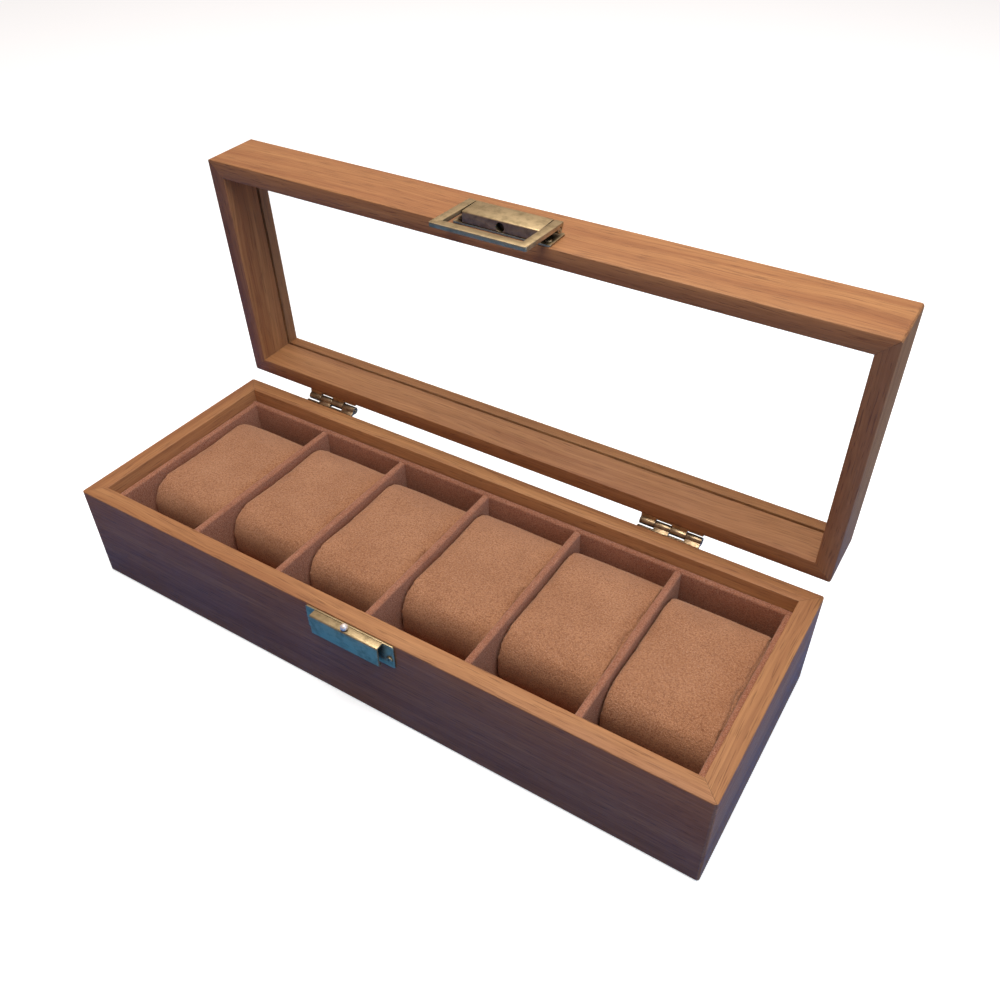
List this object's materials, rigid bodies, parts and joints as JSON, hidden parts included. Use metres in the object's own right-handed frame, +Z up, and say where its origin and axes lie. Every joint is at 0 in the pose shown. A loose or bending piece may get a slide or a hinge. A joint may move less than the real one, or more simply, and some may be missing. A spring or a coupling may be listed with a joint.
{
  "type": "watch box",
  "caption": "Long lidded wooden watch box with suede slots and pillows, a glazed lid on rear hinges, and a swinging frame clasp over a hooked catch.",
  "frame": {"origin": "middle of the underside, on the surface the box stands on", "axes": "+X along the box, +Y from the clasp side to the hinge side, +Z up"},
  "size_m": [0.32, 0.1531, 0.1782],
  "materials": {
    "wood": "satin",
    "floor_board": "matte",
    "felt": "matte",
    "tray_suede": "matte",
    "pillow_suede": "matte",
    "antique_brass": "brushed antique",
    "bright_steel": "polished",
    "glass": "clear"
  },
  "bodies": {
    "base": {"base_front_board": "wood", "base_right_board": "wood", "base_back_board": "wood", "base_left_board": "wood", "base_floor": "floor_board", "underside_felt": "felt", "tray_front_wall": "tray_suede", "tray_back_wall": "tray_suede", "tray_left_wall": "tray_suede", "tray_right_wall": "tray_suede", "tray_floor": "tray_suede", "divider_1": "tray_suede", "divider_2": "tray_suede", "divider_3": "tray_suede", "divider_4": "tray_suede", "divider_5": "tray_suede", "hinge_left_base_leaf": "antique_brass", "hinge_right_base_leaf": "antique_brass", "hinge_left_pin": "antique_brass", "hinge_right_pin": "antique_brass", "hinge_base_screw_1": "antique_brass", "hinge_base_screw_2": "antique_brass", "hinge_base_screw_3": "antique_brass", "hinge_base_screw_4": "antique_brass", "catch_plate": "antique_brass", "catch_hook": "antique_brass", "catch_screw_1": "antique_brass", "catch_screw_2": "antique_brass", "catch_ball": "bright_steel"},
    "lid": {"lid_front_board": "wood", "lid_right_board": "wood", "lid_back_board": "wood", "lid_left_board": "wood", "lid_glass": "glass", "hinge_left_lid_leaf": "antique_brass", "hinge_right_lid_leaf": "antique_brass", "hinge_lid_screw_1": "antique_brass", "hinge_lid_screw_2": "antique_brass", "hinge_lid_screw_3": "antique_brass", "hinge_lid_screw_4": "antique_brass", "clasp_plate": "antique_brass", "clasp_tab": "antique_brass", "clasp_screw_1": "antique_brass", "clasp_screw_2": "antique_brass", "clasp_pivot_rod": "antique_brass"},
    "clasp_frame": {"clasp_frame": "antique_brass"},
    "pillow_1_body": {"pillow_1": "pillow_suede"},
    "pillow_2_body": {"pillow_2": "pillow_suede"},
    "pillow_3_body": {"pillow_3": "pillow_suede"},
    "pillow_4_body": {"pillow_4": "pillow_suede"},
    "pillow_5_body": {"pillow_5": "pillow_suede"},
    "pillow_6_body": {"pillow_6": "pillow_suede"}
  },
  "joints": [
    {"name": "lid_hinge", "type": "hinge", "parent": "base", "child": "lid", "pos_m": [0, 0.062, 0.0515], "axis": [-1, 0, 0], "range_deg": [-88, 0]},
    {"name": "clasp_swing", "type": "hinge", "parent": "lid", "child": "clasp_frame", "pos_m": [0.0017, 0.06718, 0.17536], "axis": [-1, 0, 0], "range_deg": [-9, 88]},
    {"name": "pillow_1_lift", "type": "slide", "parent": "base", "child": "pillow_1_body", "axis": [0, 0, 1], "range_m": [0, 0.1]},
    {"name": "pillow_2_lift", "type": "slide", "parent": "base", "child": "pillow_2_body", "axis": [0, 0, 1], "range_m": [0, 0.1]},
    {"name": "pillow_3_lift", "type": "slide", "parent": "base", "child": "pillow_3_body", "axis": [0, 0, 1], "range_m": [0, 0.1]},
    {"name": "pillow_4_lift", "type": "slide", "parent": "base", "child": "pillow_4_body", "axis": [0, 0, 1], "range_m": [0, 0.1]},
    {"name": "pillow_5_lift", "type": "slide", "parent": "base", "child": "pillow_5_body", "axis": [0, 0, 1], "range_m": [0, 0.1]},
    {"name": "pillow_6_lift", "type": "slide", "parent": "base", "child": "pillow_6_body", "axis": [0, 0, 1], "range_m": [0, 0.1]}
  ]
}
